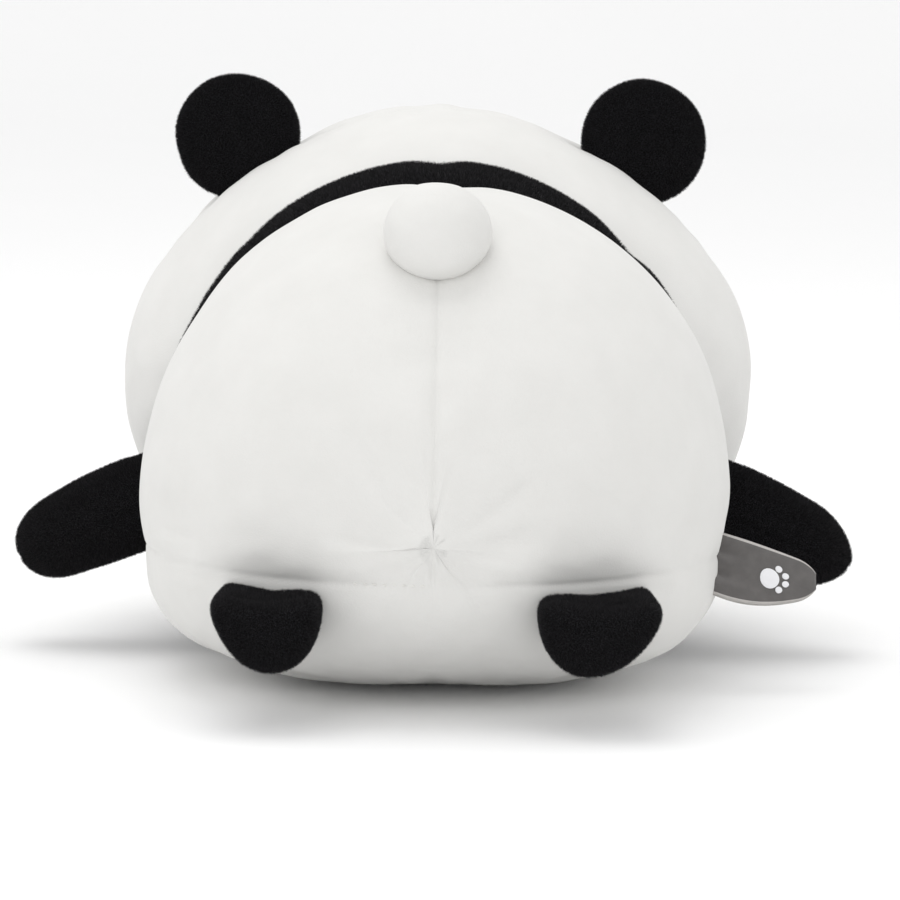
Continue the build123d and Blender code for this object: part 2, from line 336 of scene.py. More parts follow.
def makeNapGroup():
    # short nap: fine grain, brushed patches and a little fluff, as one height and one shade
    group, given, out = newGroup("napOfPlush",
        [("Grain Scale", "NodeSocketFloat", 900.0), ("Brush Scale", "NodeSocketFloat", 60.0),
         ("Grain", "NodeSocketFloat", 0.5), ("Brush", "NodeSocketFloat", 0.5)],
        [("Height", "NodeSocketFloat"), ("Shade", "NodeSocketFloat")])
    place = group.nodes.new("ShaderNodeTexCoord").outputs["Object"]
    grain = noiseAt(group, place, given.outputs["Grain Scale"], 2.0, 0.6)
    brush = noiseAt(group, place, given.outputs["Brush Scale"], 4.0, 0.55)
    fine = mathNode(group, "MULTIPLY", grain, given.outputs["Grain"])
    broad = mathNode(group, "MULTIPLY", brush, given.outputs["Brush"])
    group.links.new(mathNode(group, "ADD", fine, broad), out.inputs["Height"])
    group.links.new(brush, out.inputs["Shade"])
    return group


napGroup = makeNapGroup()


def newMaterial(name, roughness, sheen=0.0, sheenRoughness=0.4, sheenTint=(1, 1, 1), coat=0.0):
    material = bpy.data.materials.new(name)
    material.use_nodes = True
    shader = material.node_tree.nodes["Principled BSDF"]
    shader.inputs["Roughness"].default_value = roughness
    shader.inputs["Specular IOR Level"].default_value = 0.3
    shader.inputs["Sheen Weight"].default_value = sheen
    shader.inputs["Sheen Roughness"].default_value = sheenRoughness
    shader.inputs["Sheen Tint"].default_value = (*sheenTint, 1)
    shader.inputs["Coat Weight"].default_value = coat
    return material, material.node_tree, shader


def mixColours(tree, factor, dark, light):
    mix = tree.nodes.new("ShaderNodeMix")
    mix.data_type = "RGBA"
    tree.links.new(factor, mix.inputs["Factor"])
    mix.inputs["A"].default_value = (*dark, 1)
    mix.inputs["B"].default_value = (*light, 1)
    return mix.outputs["Result"]


def addBump(tree, shader, height, strength, distance):
    bump = tree.nodes.new("ShaderNodeBump")
    bump.inputs["Strength"].default_value = strength
    bump.inputs["Distance"].default_value = distance
    tree.links.new(height, bump.inputs["Height"])
    tree.links.new(bump.outputs["Normal"], shader.inputs["Normal"])


def makeNapMaterial(name, dark, light, grainScale, brushScale, strength, distance, **finish):
    material, tree, shader = newMaterial(name, **finish)
    nap = tree.nodes.new("ShaderNodeGroup")
    nap.node_tree = napGroup
    nap.inputs["Grain Scale"].default_value = grainScale
    nap.inputs["Brush Scale"].default_value = brushScale
    tree.links.new(mixColours(tree, nap.outputs["Shade"], dark, light), shader.inputs["Base Color"])
    addBump(tree, shader, nap.outputs["Height"], strength, distance)
    return material


whitePlush = makeNapMaterial("whitePlush", (0.675, 0.67, 0.65), (0.745, 0.74, 0.722), 1500, 45, 0.3, 0.0007,
                             roughness=0.85, sheen=0.08, sheenRoughness=0.5)
blackCloth = makeNapMaterial("blackCloth", (0.0018, 0.0015, 0.0017), (0.006, 0.0055, 0.0062), 900, 70,
                             0.5, 0.0008,
                             roughness=0.9, sheen=0.15, sheenTint=(0.6, 0.62, 0.7))
threadBlack = makeNapMaterial("threadBlack", (0.006, 0.005, 0.006), (0.02, 0.018, 0.022), 2500, 200,
                              0.4, 0.0003,
                              roughness=0.55, sheen=0.2)
threadWhite = makeNapMaterial("threadWhite", (0.72, 0.71, 0.68), (0.86, 0.85, 0.83), 2500, 200, 0.4, 0.0003,
                              roughness=0.7)


def makePileMaterial():
    # each strand has its own shade, from the value stored on it
    material, tree, shader = newMaterial("blackPile", 0.72, sheen=0.1, sheenTint=(0.6, 0.62, 0.72))
    strand = tree.nodes.new("ShaderNodeAttribute")
    strand.attribute_name = "strandShade"
    colour = mixColours(tree, strand.outputs["Fac"], (0.0016, 0.0012, 0.0014), (0.012, 0.0108, 0.0125))
    tree.links.new(colour, shader.inputs["Base Color"])
    return material


blackPile = makePileMaterial()


def makeEyeMaterial():
    material, tree, shader = newMaterial("eyeGloss", 0.12, coat=0.6)
    place = tree.nodes.new("ShaderNodeTexCoord").outputs["Object"]
    scuff = noiseAt(tree, place, 500.0, 3.0)
    tree.links.new(mixColours(tree, scuff, (0.004, 0.004, 0.005), (0.012, 0.011, 0.013)),
                   shader.inputs["Base Color"])
    tree.links.new(mathNode(tree, "ADD", mathNode(tree, "MULTIPLY", scuff, 0.08), 0.08),
                   shader.inputs["Roughness"])
    return material


eyeGloss = makeEyeMaterial()


def makeRibbonMaterial(name, dark, light, threads):
    # woven ribbon, with threads both ways along its own map
    material, tree, shader = newMaterial(name, 0.82, sheen=0.3, sheenRoughness=0.5)
    cloth = tree.nodes.new("ShaderNodeUVMap")
    cloth.uv_map = "ribbonMap"
    split = tree.nodes.new("ShaderNodeSeparateXYZ")
    tree.links.new(cloth.outputs["UV"], split.inputs["Vector"])
    along = mathNode(tree, "SINE", mathNode(tree, "MULTIPLY", split.outputs["X"], threads))
    across = mathNode(tree, "SINE", mathNode(tree, "MULTIPLY", split.outputs["Y"], threads))
    weave = mathNode(tree, "MULTIPLY", mathNode(tree, "MULTIPLY", along, across), 0.5)
    place = tree.nodes.new("ShaderNodeTexCoord").outputs["Object"]
    wear = noiseAt(tree, place, 220.0, 4.0)
    tree.links.new(mixColours(tree, wear, dark, light), shader.inputs["Base Color"])
    addBump(tree, shader, mathNode(tree, "ADD", weave, wear), 0.5, 0.0002)
    return material


ribbonGrey = makeRibbonMaterial("ribbonGrey", (0.085, 0.08, 0.078), (0.15, 0.142, 0.138), 12000.0)
ribbonEdge = makeRibbonMaterial("ribbonEdge", (0.42, 0.40, 0.38), (0.56, 0.54, 0.52), 12000.0)
inkWhite = makeNapMaterial("inkWhite", (0.70, 0.70, 0.72), (0.82, 0.82, 0.84), 1800, 300, 0.3, 0.0002,
                           roughness=0.6)


# geometry nodes: pile strands and stitches

def treeWith(name, inputs):
    tree = bpy.data.node_groups.new(name, "GeometryNodeTree")
    tree.interface.new_socket("Geometry", in_out="INPUT", socket_type="NodeSocketGeometry")
    for label, kind, value in inputs:
        socket = tree.interface.new_socket(label, in_out="INPUT", socket_type=kind)
        if value is not None:
            socket.default_value = value
    tree.interface.new_socket("Geometry", in_out="OUTPUT", socket_type="NodeSocketGeometry")
    return tree, tree.nodes.new("NodeGroupInput"), tree.nodes.new("NodeGroupOutput")


def makePileTree():
    tree, given, out = treeWith("pileStrands", [
        ("Strands Per Area", "NodeSocketFloat", 3000000.0), ("Length", "NodeSocketFloat", 0.0018),
        ("Thickness", "NodeSocketFloat", 0.00016), ("Lean", "NodeSocketFloat", 0.6),
        ("Seed", "NodeSocketInt", 1), ("Material", "NodeSocketMaterial", None)])
    add, link = tree.nodes.new, tree.links.new
    where = add("GeometryNodeInputNamedAttribute")
    where.data_type = "FLOAT"
    where.inputs["Name"].default_value = "pileDensity"
    amount = add("ShaderNodeMath")
    amount.operation = "MULTIPLY"
    link(where.outputs["Attribute"], amount.inputs[0])
    link(given.outputs["Strands Per Area"], amount.inputs[1])
    scatter = add("GeometryNodeDistributePointsOnFaces")
    scatter.distribute_method = "RANDOM"
    link(given.outputs["Geometry"], scatter.inputs["Mesh"])
    link(amount.outputs[0], scatter.inputs["Density"])
    link(given.outputs["Seed"], scatter.inputs["Seed"])
    strand = add("GeometryNodeMeshCone")
    strand.fill_type = "NONE"
    strand.inputs["Vertices"].default_value = 3
    strand.inputs["Radius Top"].default_value = 0.0
    link(given.outputs["Thickness"], strand.inputs["Radius Bottom"])
    link(given.outputs["Length"], strand.inputs["Depth"])
    lean = add("FunctionNodeRandomValue")
    lean.data_type = "FLOAT_VECTOR"
    lowest, highest = add("ShaderNodeCombineXYZ"), add("ShaderNodeCombineXYZ")
    negative = add("ShaderNodeMath")
    negative.operation = "MULTIPLY"
    negative.inputs[1].default_value = -1.0
    link(given.outputs["Lean"], negative.inputs[0])
    for axis in ("X", "Y"):
        link(given.outputs["Lean"], highest.inputs[axis])
        link(negative.outputs[0], lowest.inputs[axis])
    highest.inputs["Z"].default_value = 6.28
    link(lowest.outputs[0], lean.inputs["Min"])
    link(highest.outputs[0], lean.inputs["Max"])
    link(given.outputs["Seed"], lean.inputs["Seed"])
    turn = add("FunctionNodeEulerToRotation")
    link(lean.outputs["Value"], turn.inputs[0])
    stand = add("FunctionNodeRotateRotation")
    stand.rotation_space = "LOCAL"
    link(scatter.outputs["Rotation"], stand.inputs["Rotation"])
    link(turn.outputs[0], stand.inputs["Rotate By"])
    size = add("FunctionNodeRandomValue")
    size.data_type = "FLOAT"
    size.inputs[2].default_value = 0.65
    size.inputs[3].default_value = 1.15
    plant = add("GeometryNodeInstanceOnPoints")
    link(scatter.outputs["Points"], plant.inputs["Points"])
    link(strand.outputs["Mesh"], plant.inputs["Instance"])
    link(stand.outputs[0], plant.inputs["Rotation"])
    link(size.outputs[1], plant.inputs["Scale"])
    shade = add("FunctionNodeRandomValue")
    shade.data_type = "FLOAT"
    keep = add("GeometryNodeStoreNamedAttribute")
    keep.data_type = "FLOAT"
    keep.domain = "INSTANCE"
    keep.inputs["Name"].default_value = "strandShade"
    link(plant.outputs["Instances"], keep.inputs["Geometry"])
    link(shade.outputs[1], keep.inputs["Value"])
    real = add("GeometryNodeRealizeInstances")
    link(keep.outputs["Geometry"], real.inputs["Geometry"])
    finish = add("GeometryNodeSetMaterial")
    link(real.outputs["Geometry"], finish.inputs["Geometry"])
    link(given.outputs["Material"], finish.inputs["Material"])
    link(finish.outputs["Geometry"], out.inputs["Geometry"])
    return tree


def makeStitchTree():
    tree, given, out = treeWith("stitchRow", [
        ("Pitch", "NodeSocketFloat", 0.003), ("Stitch Length", "NodeSocketFloat", 0.002),
        ("Thread", "NodeSocketFloat", 0.0003), ("Slant", "NodeSocketFloat", 0.0),
        ("Material", "NodeSocketMaterial", None)])
    add, link = tree.nodes.new, tree.links.new
    path = add("GeometryNodeMeshToCurve")
    link(given.outputs["Geometry"], path.inputs["Mesh"])
    space = add("GeometryNodeResampleCurve")
    space.mode = "LENGTH"
    link(path.outputs["Curve"], space.inputs["Curve"])
    link(given.outputs["Pitch"], space.inputs["Length"])
    ball = add("GeometryNodeMeshUVSphere")
    ball.inputs["Segments"].default_value = 6
    ball.inputs["Rings"].default_value = 5
    ball.inputs["Radius"].default_value = 1.0
    half = add("ShaderNodeMath")
    half.operation = "MULTIPLY"
    half.inputs[1].default_value = 0.5
    link(given.outputs["Stitch Length"], half.inputs[0])
    shape = add("ShaderNodeCombineXYZ")
    link(given.outputs["Thread"], shape.inputs["X"])
    link(given.outputs["Thread"], shape.inputs["Y"])
    link(half.outputs[0], shape.inputs["Z"])
    tangent = add("GeometryNodeInputTangent")
    aim = add("FunctionNodeAlignRotationToVector")
    aim.axis = "Z"
    link(tangent.outputs[0], aim.inputs["Vector"])
    slant = add("ShaderNodeCombineXYZ")
    link(given.outputs["Slant"], slant.inputs["X"])
    tilt = add("FunctionNodeEulerToRotation")
    link(slant.outputs[0], tilt.inputs[0])
    both = add("FunctionNodeRotateRotation")
    both.rotation_space = "LOCAL"
    link(aim.outputs[0], both.inputs["Rotation"])
    link(tilt.outputs[0], both.inputs["Rotate By"])
    sew = add("GeometryNodeInstanceOnPoints")
    link(space.outputs["Curve"], sew.inputs["Points"])
    link(ball.outputs["Mesh"], sew.inputs["Instance"])
    link(both.outputs[0], sew.inputs["Rotation"])
    link(shape.outputs[0], sew.inputs["Scale"])
    real = add("GeometryNodeRealizeInstances")
    link(sew.outputs["Instances"], real.inputs["Geometry"])
    finish = add("GeometryNodeSetMaterial")
    link(real.outputs["Geometry"], finish.inputs["Geometry"])
    link(given.outputs["Material"], finish.inputs["Material"])
    link(finish.outputs["Geometry"], out.inputs["Geometry"])
    return tree


pileTree = makePileTree()
stitchTree = makeStitchTree()


def runTree(piece, tree, values, name):
    # the tree's result as a plain mesh of its own
    modifier = piece.modifiers.new("made", "NODES")
    modifier.node_group = tree
    for item in tree.interface.items_tree:
        if item.item_type == "SOCKET" and item.in_out == "INPUT" and item.name in values:
            modifier[item.identifier] = values[item.name]
    made = bake(piece, name)
    piece.modifiers.remove(modifier)
    made.data.materials.clear()
    made.data.materials.append(values["Material"])
    return made


def growPile(piece, name, density, seed, most=62000, length=0.0018, thickness=0.00017, lean=0.55):
    # density is a share for each point of the cloth, nought where the cloth is hidden
    share = np.clip(density, 0, 1)
    store = piece.data.attributes.new("pileDensity", "FLOAT", "POINT")
    store.data.foreach_set("value", share.astype(np.float32))
    area = sum(p.area * share[list(p.vertices)].mean() for p in piece.data.polygons)
    values = {"Strands Per Area": most / max(area, 1e-6), "Length": length, "Thickness": thickness,
              "Lean": lean, "Seed": seed, "Material": blackPile}
    pile = runTree(piece, pileTree, values, name)
    piece.data.attributes.remove(piece.data.attributes["pileDensity"])
    return pile


def sewRow(points, name, pitch, length, thread, material, slant=0.0):
    mesh = bpy.data.meshes.new(name + "Path")
    mesh.from_pydata([tuple(p) for p in points], [(i, i + 1) for i in range(len(points) - 1)], [])
    path = bpy.data.objects.new(name + "Path", mesh)
    scene.collection.objects.link(path)
    values = {"Pitch": pitch, "Stitch Length": length, "Thread": thread, "Slant": slant,
              "Material": material}
    row = runTree(path, stitchTree, values, name)
    drop(path)
    return row


def wear(piece, material):
    piece.data.materials.clear()
    piece.data.materials.append(material)
    return piece


# rump

rump = {"rows": 40, "cols": 96, "hem": 0.0035, "pressure": 3.0, "cap": 0.0025, "lump": 0.0015, "hold": 0.6,
        "seamDepth": 0.0007, "seamWidth": 0.0010, "seamPinch": 0.0011, "seamReach": 0.008,
        "bellySeam": 0.056}

turns = np.linspace(0, 2 * math.pi, rump["cols"], endpoint=False) + math.pi / 2
creaseFromRump = meetAngle(rumpCentre, rumpReach, bandCentre, bandReach, turns, 0.6, 2.9)


def wallTo(ring, pole, shares):
    # a closing wall from a ring to a pole, hidden inside the toy
    return np.stack([ring + (pole - ring) * share for share in shares])


def makeRump():
    steps = np.sin(np.linspace(0.03, 1, rump["rows"]) * math.pi / 2) ** 0.9
    angles = steps[:, None] * creaseFromRump[None, :]
    rings = ringPoint(rumpCentre, rumpReach, angles, np.broadcast_to(turns, angles.shape))
    edge = rings[-1]
    middle = np.array([0, edge[:, 1].mean() - 0.002, rumpCentre[2]])
    hemRing = edge + unitRows(middle - edge) * rump["hem"] - np.array([0, 0.0008, 0])
    wall = wallTo(hemRing, middle, (0, 0.15, 0.45, 0.75))
    rings = settle(np.vstack([rings, wall]))
    pole = rumpCentre + np.array([0, -rumpRadius, 0])
    piece = closedBag("rumpCloth", rings, pole, middle)
    points = pointsOf(piece)
    held = np.zeros(len(points))
    held[rump["rows"] * rump["cols"]:] = 1
    held[(rump["rows"] - 1) * rump["cols"]:rump["rows"] * rump["cols"]] = 1
    held[points[:, 2] < 0.004] = 1
    back = points[:, 1] < edge[:, 1].min() - 0.004
    held[back & (np.abs(points[:, 0]) < 0.002) & (points[:, 2] > rump["bellySeam"])] = rump["hold"]
    held[back & (np.abs(points[:, 2] - rump["bellySeam"]) < 0.003)] = rump["hold"]
    puffUp(piece, rump["pressure"], rump["cap"], held)
    piece = subdivide(piece, 2)
    points, normals = pointsOf(piece), normalsOf(piece)
    outer = np.clip((edge[:, 1].mean() - 0.004 - points[:, 1]) / 0.02, 0, 1)
    centreSeam = groove(points[:, 0], rump["seamDepth"], rump["seamWidth"], rump["seamPinch"],
                        rump["seamReach"])
    centreSeam *= np.clip((points[:, 2] - rump["bellySeam"] + 0.002) / 0.006, 0, 1) * (normals[:, 1] < 0.6)
    bellySeam = groove(points[:, 2] - rump["bellySeam"], rump["seamDepth"] * 0.7, rump["seamWidth"],
                       rump["seamPinch"] * 0.8, rump["seamReach"] * 0.8)
    ripple = 0.00022 * np.sin(points[:, 2] / 0.0042) * np.exp(-np.abs(points[:, 0]) / 0.007)
    folds = sum(dent(points, np.array(place), unitOf(run), length, width, depth, unitOf(side))
                for place, run, side, length, width, depth in rumpFolds())
    uneven = rump["lump"] * lumps(points, 0.07, 1) + 0.00035 * lumps(points, 0.022, 2)
    onFloor = np.clip(points[:, 2] / 0.012, 0, 1)
    push = (uneven - centreSeam - bellySeam + ripple - folds) * outer * onFloor
    movePoints(piece, points + normals * push[:, None])
    return wear(piece, whitePlush), edge, middle


def unitOf(vector):
    vector = np.array(vector, float)
    return vector / np.linalg.norm(vector)


def rumpFolds():
    # place, run, side, length, width, depth of each short crease round the end of the centre seam
    y = rumpLow[1] + 0.003
    low = rump["bellySeam"]
    return [((-0.010, y, low + 0.004), (0.5, 0, 1), (1, 0, -0.5), 0.007, 0.0018, 0.0005),
            ((-0.016, y, low + 0.003), (0.3, 0, 1), (1, 0, -0.3), 0.006, 0.0018, 0.0004),
            ((-0.022, y, low + 0.003), (0.45, 0, 1), (1, 0, -0.45), 0.005, 0.0015, 0.0005),
            ((0.007, y, low + 0.005), (-0.4, 0, 1), (1, 0, 0.4), 0.006, 0.0018, 0.0004),
            ((-0.004, y, low - 0.006), (0.2, 0, 1), (1, 0, -0.2), 0.005, 0.0018, 0.0003),
            ((-0.098, rumpCentre[1] - 0.055, low + 0.012), (0.8, -0.5, 0.05), (0, 0, 1), 0.014, 0.002,
             0.0009),
            ((-0.088, rumpCentre[1] - 0.070, low - 0.004), (0.8, -0.5, -0.1), (0, 0, 1), 0.016, 0.0025,
             0.0008)]


rumpCloth, creaseRing, creaseMiddle = makeRump()
print("rump made:", len(rumpCloth.data.polygons), "faces")


# shoulders

band = {"rows": 12, "hem": 0.0030, "pileInset": 0.0012, "pressure": 2.5, "cap": 0.002, "lump": 0.0007}
seatFromBand = meetAngle(bandCentre, bandReach, headCentre, headReach, turns, 0.9, 2.9)


def creaseAngles():
    # where the band comes out of the rump, seen from the band's own centre
    low, high = np.full_like(turns, 0.2), np.full_like(turns, 2.4)
    for _ in range(40):
        middle = (low + high) / 2
        inside = insideBy(ringPoint(bandCentre, bandReach, middle, turns), rumpCentre, rumpReach) > 0
        low, high = np.where(inside, middle, low), np.where(inside, high, middle)
    return (low + high) / 2


def makeBand():
    start, end = creaseAngles(), seatFromBand
    end = np.maximum(end, start + 0.02)
    steps = np.linspace(0, 1, band["rows"])
    angles = start[None, :] + steps[:, None] * (end - start)[None, :]
    rings = ringPoint(bandCentre, lambda d: bandReach(d) - band["pileInset"], angles,
                      np.broadcast_to(turns, angles.shape))
    first, last = rings[0], rings[-1]
    backPole = creaseMiddle + np.array([0, 0.004, 0])
    backEdge = first + unitRows(backPole - first) * band["hem"] + np.array([0, 0.0010, 0])
    backWall = wallTo(backEdge, backPole, (0.75, 0.45, 0.15, 0))
    headBack = headCentre + np.array([0, -(headRadius + 0.0015), 0])
    toPole = unitRows(headBack - headCentre)
    fromRing = unitRows(last - headCentre)
    frontWall = []
    for share in (0.02, 0.2, 0.45, 0.7, 0.9):
        direction = unitRows(fromRing * (1 - share) + toPole * share)
        frontWall.append(headCentre + direction * (headReach(direction) + 0.0012)[:, None])
    rings = settle(np.vstack([backWall, rings, np.stack(frontWall)]))
    piece = closedBag("bandCloth", rings, backPole, headBack)
    held = np.ones(len(pointsOf(piece)))
    cols = rump["cols"]
    held[5 * cols:(4 + band["rows"] - 1) * cols] = 0
    puffUp(piece, band["pressure"], band["cap"], held)
    piece = subdivide(piece, 2)
    points, normals = pointsOf(piece), normalsOf(piece)
    outside = insideBy(points, bandCentre, bandReach) < 0.004
    push = band["lump"] * lumps(points, 0.05, 4) * outside * np.clip(points[:, 2] / 0.012, 0, 1)
    movePoints(piece, points + normals * push[:, None])
    return wear(piece, blackCloth)


bandCloth = makeBand()
print("band made:", len(bandCloth.data.polygons), "faces")


# head

head = {"rows": 56, "cols": 96, "pressure": 3.0, "cap": 0.0022, "lump": 0.0017,
        "seamDepth": 0.0009, "seamWidth": 0.0012, "seamPinch": 0.0009, "seamReach": 0.006}


def makeHead():
    # rings stand along the left-right axis, which is the nodding axis
    lift = np.linspace(0.035, math.pi - 0.035, head["rows"])
    rounds = np.linspace(0, 2 * math.pi, head["cols"], endpoint=False)
    angle, spin = np.meshgrid(lift, rounds, indexing="ij")
    direction = np.stack([-np.cos(angle), np.sin(angle) * np.cos(spin), np.sin(angle) * np.sin(spin)], -1)
    rings = settle(headCentre + direction * headReach(direction)[..., None])
    side = np.array([headHalf, 0, 0])
    piece = closedBag("headCloth", rings, headCentre - side, headCentre + side)
    points = pointsOf(piece)
    held = (points[:, 2] < 0.004).astype(float)
    held[np.abs(points[:, 1] - headCentre[1]) < 0.002] = 0.8
    puffUp(piece, head["pressure"], head["cap"], held)
    piece = subdivide(piece, 2)
    points, normals = pointsOf(piece), normalsOf(piece)
    seam = groove(points[:, 1] - headCentre[1], head["seamDepth"], head["seamWidth"], head["seamPinch"],
                  head["seamReach"])
    uneven = head["lump"] * lumps(points, 0.08, 7) + 0.0003 * lumps(points, 0.024, 8)
    cheek = 0.0016 * np.exp(-((np.abs(points[:, 0]) - 0.118) / 0.02) ** 2 - ((points[:,
                                                                                     2] - 0.105) / 0.018) ** 2)
    push = (uneven - seam - cheek * lumps(points, 0.02, 9)) * np.clip(points[:, 2] / 0.012, 0, 1)
    movePoints(piece, points + normals * push[:, None])
    return wear(piece, whitePlush)


headCloth = makeHead()
print("head made:", len(headCloth.data.polygons), "faces")


# tail

tail = {"radius": 0.0212, "tall": 0.0192, "rows": 22, "cols": 32}
tailRoot = pivotOf("tail_wag")
tailOut = unitOf(np.array([0, -0.575, 0.818]))
tailCentre = tailRoot + tailOut * 0.0106


def makeTail():
    lift = np.linspace(0.1, math.pi - 0.1, tail["rows"])
    rounds = np.linspace(0, 2 * math.pi, tail["cols"], endpoint=False)
    angle, spin = np.meshgrid(lift, rounds, indexing="ij")
    side = np.array([1.0, 0, 0])
    third = np.cross(tailOut, side)
    reach = np.stack([np.sin(angle) * np.cos(spin), np.sin(angle) * np.sin(spin), np.cos(angle)], -1)
    local = reach[..., 0:1] * side * tail["radius"] + reach[..., 1:2] * third * tail["radius"] * 0.97 \
        - reach[..., 2:3] * tailOut * tail["tall"]
    pinch = 1 - 0.10 * np.exp(-((reach[..., 2:3] - 0.9) / 0.35) ** 2)
    rings = tailCentre + local * pinch
    piece = closedBag("tailCloth", rings, tailCentre - tailOut * tail["tall"],
                      tailCentre + tailOut * tail["tall"])
    puffUp(piece, 2.0, 0.0012, (pointsOf(piece) - tailCentre) @ tailOut < -0.010)
    piece = subdivide(piece, 2)
    points, normals = pointsOf(piece), normalsOf(piece)
    push = 0.0005 * lumps(points, 0.016, 11) + 0.0002 * lumps(points, 0.006, 12)
    movePoints(piece, points + normals * push[:, None])
    return wear(piece, whitePlush)


tailCloth = makeTail()


# arms: stub sleeves that droop a little, blunt at the tip

arm = {"rootRadius": 0.0192, "midRadius": 0.0182, "tipRadius": 0.0146, "length": 0.0705, "inside": 0.012,
       "droop": 20.0, "point": {"left": (2.6, 0.50), "right": (1.9,
                                                               0.62)}, "rows": 30, "cols": 36, "sag": 0.0045}


def makeArm(side, name):
    pivot = pivotOf(name + "_arm_lift")
    droop = math.radians(arm["droop"])
    out = np.array([side * math.cos(droop), 0, -math.sin(droop)])
    up = np.array([side * math.sin(droop), 0, math.cos(droop)])
    across = np.array([0, 1.0, 0])
    steps = np.linspace(0.02, 0.985, arm["rows"])
    rounds = np.linspace(0, 2 * math.pi, arm["cols"], endpoint=False)
    rings = []
    for share in steps:
        run = -arm["inside"] + share * (arm["length"] + arm["inside"])
        here = max(run / arm["length"], 0)
        radius = arm["rootRadius"] + (arm["midRadius"] - arm["rootRadius"]) * min(here * 2, 1)
        radius += (arm["tipRadius"] - arm["midRadius"]) * max(here * 2 - 1, 0)
        cap = max(0, (run - arm["length"] * 0.68) / (arm["length"] * 0.32))
        blunt, taper = arm["point"][name]
        radius *= (1 - cap ** blunt) ** taper
        start = max(0, (-run) / arm["inside"])
        radius *= (1 - start ** 3) ** 0.5 if start < 1 else 0.1
        sag = -arm["sag"] * here ** 2 * (1.0 - 0.3 * cap)
        centre = pivot + out * run + up * sag
        flat = 0.94 + 0.06 * (1 - cap)
        rings.append(centre + np.cos(rounds)[:, None] * across * radius * flat + np.sin(rounds)[:,
                                                                                                None] * up * radius)
    rings = np.stack(rings)
    tip = pivot + out * arm["length"] - up * arm["sag"] * 0.8
    piece = closedBag(name + "ArmCloth", rings, pivot - out * arm["inside"], tip)
    away = (pointsOf(piece) - pivot) @ out
    puffUp(piece, 2.0, 0.0010, (away < 0.012).astype(float))
    piece = subdivide(piece, 2)
    points, normals = pointsOf(piece), normalsOf(piece)
    away = points - pivot
    seam = groove(away @ up + arm["sag"] * np.clip((away @ out) / arm["length"], 0, 1) ** 2, 0.0007,
                  0.0010, 0.0005, 0.004)
    push = 0.0007 * lumps(points, 0.02, 14 + side) - seam
    movePoints(piece, points + normals * push[:, None])
    return wear(piece, blackCloth), pivot, out


# feet: short stubs, flat on top

foot = {"top": 0.0058, "bottom": 0.0222, "dip": 0.0012, "smoothing": 40, "rows": 26, "cols": 40,
        "inside": 0.020, "pileInset": 0.001,
        "left": {"radius": 0.0206, "shift": -0.0018, "lean": -0.10},
        "right": {"radius": 0.0232, "shift": 0.0028, "lean": -0.20}}


def footOutline():
    # seen from behind: flat and a little hollow on top, a full round curve below
    lower = np.linspace(math.pi, 2 * math.pi, 120)
    x = list(np.cos(lower))
    z = list(foot["top"] + (foot["top"] + foot["bottom"]) * np.sin(lower))
    across = np.linspace(1, -1, 60)[1:-1]
    x += list(across)
    z += list(foot["top"] - foot["dip"] * np.exp(-(across / 0.45) ** 2))
    points = np.stack([x, z], -1)
    for _ in range(foot["smoothing"]):
        points = (np.roll(points, 1, 0) + 2 * points + np.roll(points, -1, 0)) / 4
    steps = np.linalg.norm((np.roll(points, -1, 0) - points) * (foot["left"]["radius"], 1), axis=1)
    run = np.concatenate([[0], np.cumsum(steps)])
    even = np.linspace(0, run[-1], foot["cols"], endpoint=False)
    loop = np.vstack([points, points[:1]])
    return np.interp(even, run, loop[:, 0]), np.interp(even, run, loop[:, 1])


def makeFoot(side, name):
    pivot = pivotOf(name + "_foot_tilt")
    back = boxOf(name + "_foot_sole")[0][1] + foot["pileInset"]
    length = pivot[1] - back
    own = foot[name]
    middle = pivot + np.array([own["shift"], 0, 0])
    shapeX, shapeZ = footOutline()
    width, height = shapeX * own["radius"], shapeZ
    rings = []
    for share in np.linspace(0.02, 0.985, foot["rows"]):
        run = -foot["inside"] + share * (length + foot["inside"])
        cap = max(0, (run - (length - 0.011)) / 0.011)
        size = (1 - min(cap, 0.995) ** 2.6) ** 0.5 * (0.93 + 0.07 * min(max(run, 0) / 0.02, 1))
        start = max(0, -run / foot["inside"])
        size *= (1 - min(start, 0.99) ** 3) ** 0.5
        x, z = width * size, height * size
        turned = np.stack([x + side * own["lean"] * np.maximum(-z, 0), np.full_like(x, -run), z], -1)
        rings.append(middle + turned)
    rings = np.stack(rings)
    piece = closedBag(name + "FootCloth", rings, pivot + np.array([0, foot["inside"], 0]),
                      np.array([middle[0], back, pivot[2] - 0.008]))
    puffUp(piece, 2.0, 0.0010, (pointsOf(piece)[:, 1] > pivot[1] - 0.008).astype(float))
    piece = subdivide(piece, 2)
    points, normals = pointsOf(piece), normalsOf(piece)
    seam = groove(points[:, 1] - (back + 0.011), 0.0006, 0.0009, 0.0005, 0.003)
    push = 0.0006 * lumps(points, 0.018, 20 + side) - seam
    movePoints(piece, points + normals * push[:, None])
    return wear(piece, blackCloth), pivot


# ears: round two-panel discs on the top corners of the head

ear = {"radius": 0.0268, "thick": 0.0100, "rows": 20, "cols": 44}


